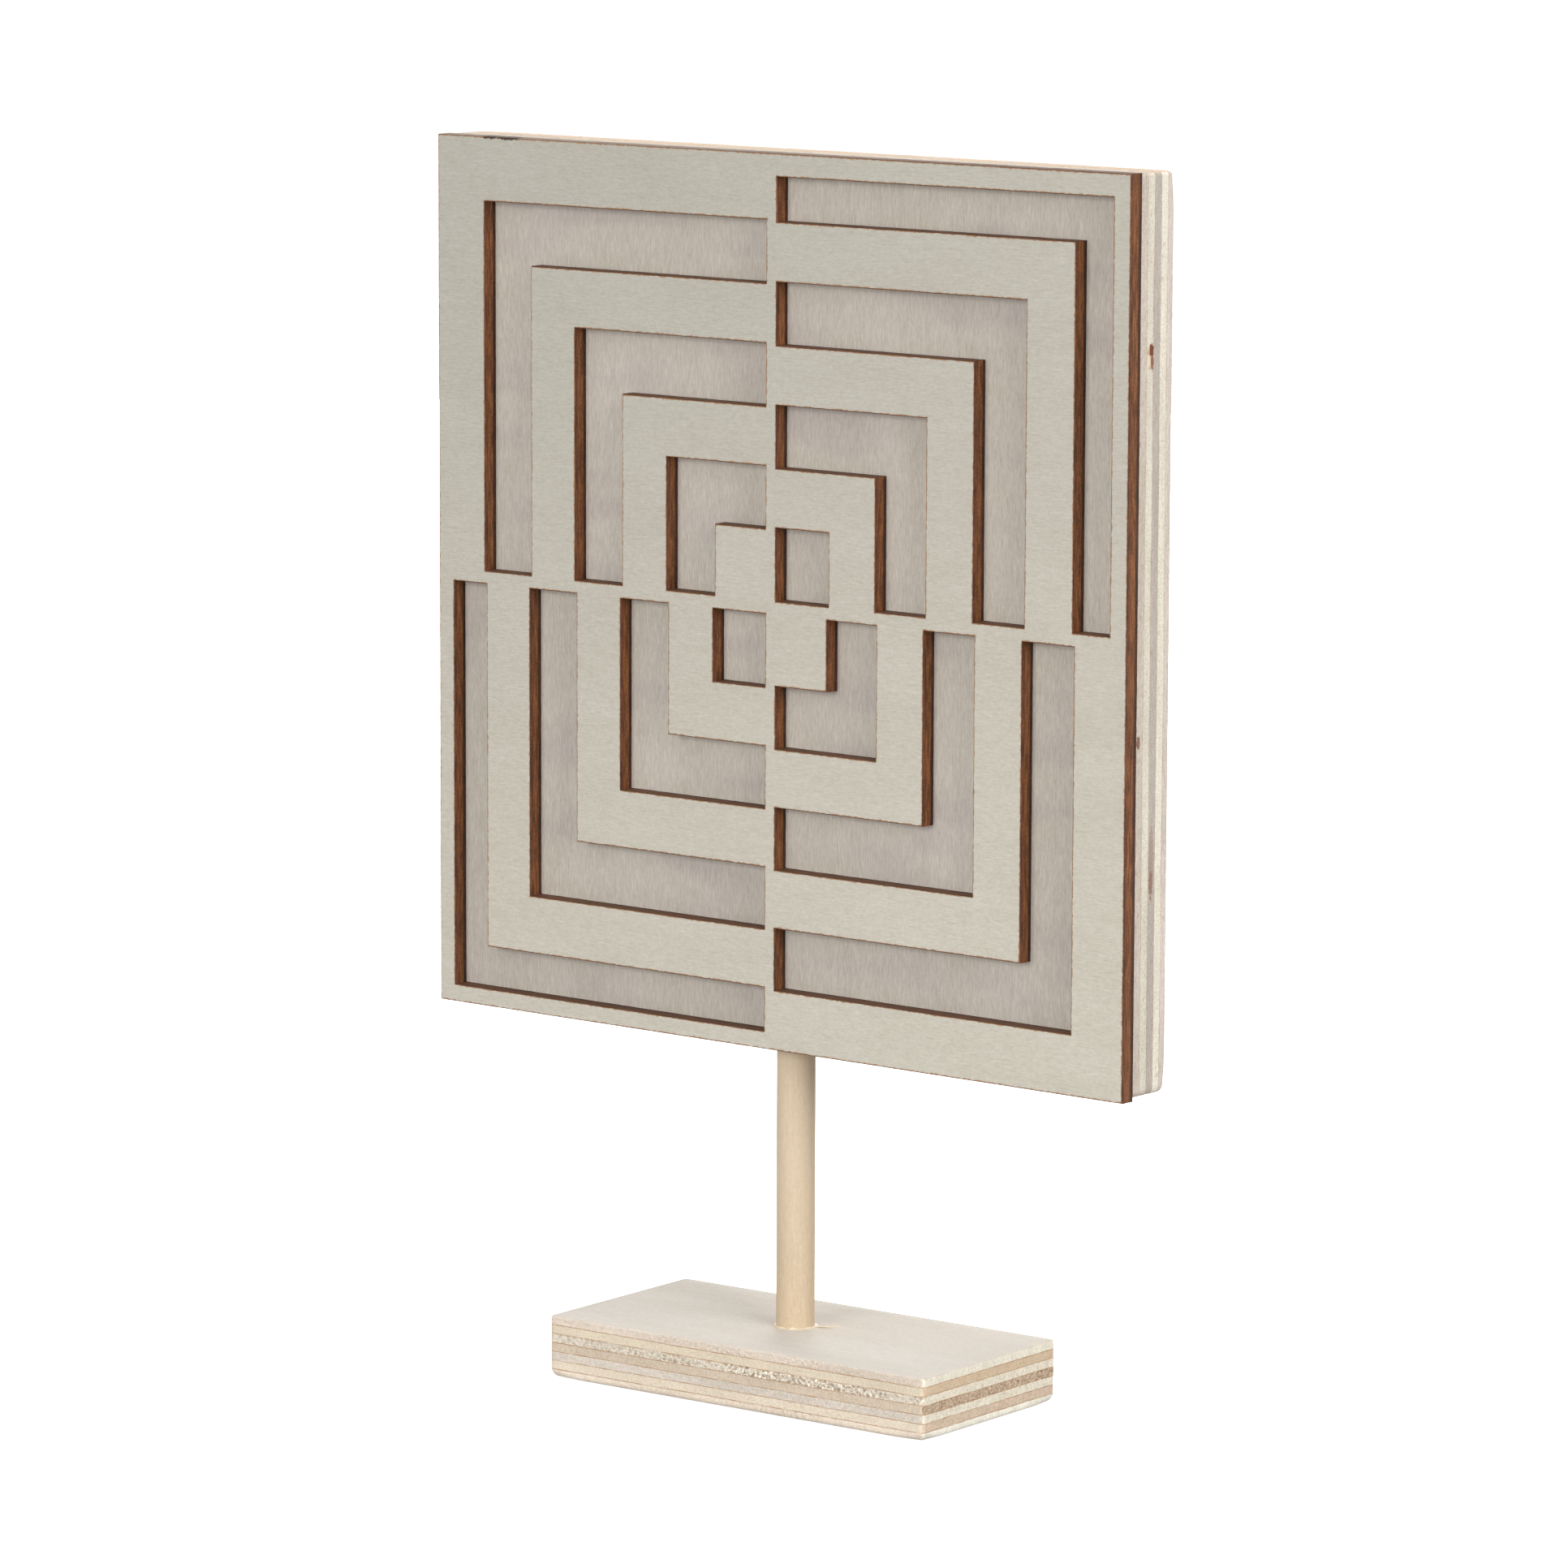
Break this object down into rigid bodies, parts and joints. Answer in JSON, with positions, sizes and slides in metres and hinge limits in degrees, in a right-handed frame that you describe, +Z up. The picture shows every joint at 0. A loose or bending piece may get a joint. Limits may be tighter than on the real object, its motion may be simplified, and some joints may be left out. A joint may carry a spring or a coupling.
{
  "type": "wooden relief panel on a dowel stand",
  "caption": "Square plywood panel with a relief of concentric offset bands, held upright by one dowel in a small block base.",
  "frame": {"origin": "on the base's underside, under the dowel's axis", "axes": "+Z up along the dowel, -Y the way the relief faces, +X to the right seen from the front"},
  "size_m": [0.145, 0.0402, 0.205],
  "materials": {
    "fretwork_face": "pale raw veneer, fine grain across the panel, matt, with laser-burnt cut walls",
    "fretwork_core": "laser-burnt brown on every cut wall, matt",
    "fretwork_rear": "laser-burnt dark brown on every cut wall, matt",
    "backing_1": "pale raw veneer, fine upright grain, slightly pink, matt",
    "backing_2": "pale cream end grain, matt",
    "backing_3": "grey side grain, matt",
    "backing_4": "cream end grain, matt",
    "backing_5": "pale raw veneer, fine upright grain, matt",
    "dowel": "warm beige raw dowel, straight grain, matt",
    "base_1": "very pale raw veneer, faint lengthwise grain, matt",
    "base_2": "yellow cream, smooth, matt",
    "base_3": "grey white, torn grain, matt",
    "base_4": "tan, smooth, darker end grain, matt",
    "base_5": "grey white, rough, matt",
    "base_6": "yellow cream, smooth, matt",
    "base_7": "pinkish beige, rough, matt"
  },
  "bodies": {
    "root": {"fretwork_front_veneer": "fretwork_face", "fretwork_core_veneer": "fretwork_core", "fretwork_rear_veneer": "fretwork_rear", "backing_veneer_1": "backing_1", "backing_veneer_2": "backing_2", "backing_veneer_3": "backing_3", "backing_veneer_4": "backing_4", "backing_veneer_5": "backing_5", "dowel": "dowel", "base_veneer_1": "base_1", "base_veneer_2": "base_2", "base_veneer_3": "base_3", "base_veneer_4": "base_4", "base_veneer_5": "base_5", "base_veneer_6": "base_6", "base_veneer_7": "base_7"}
  },
  "joints": []
}
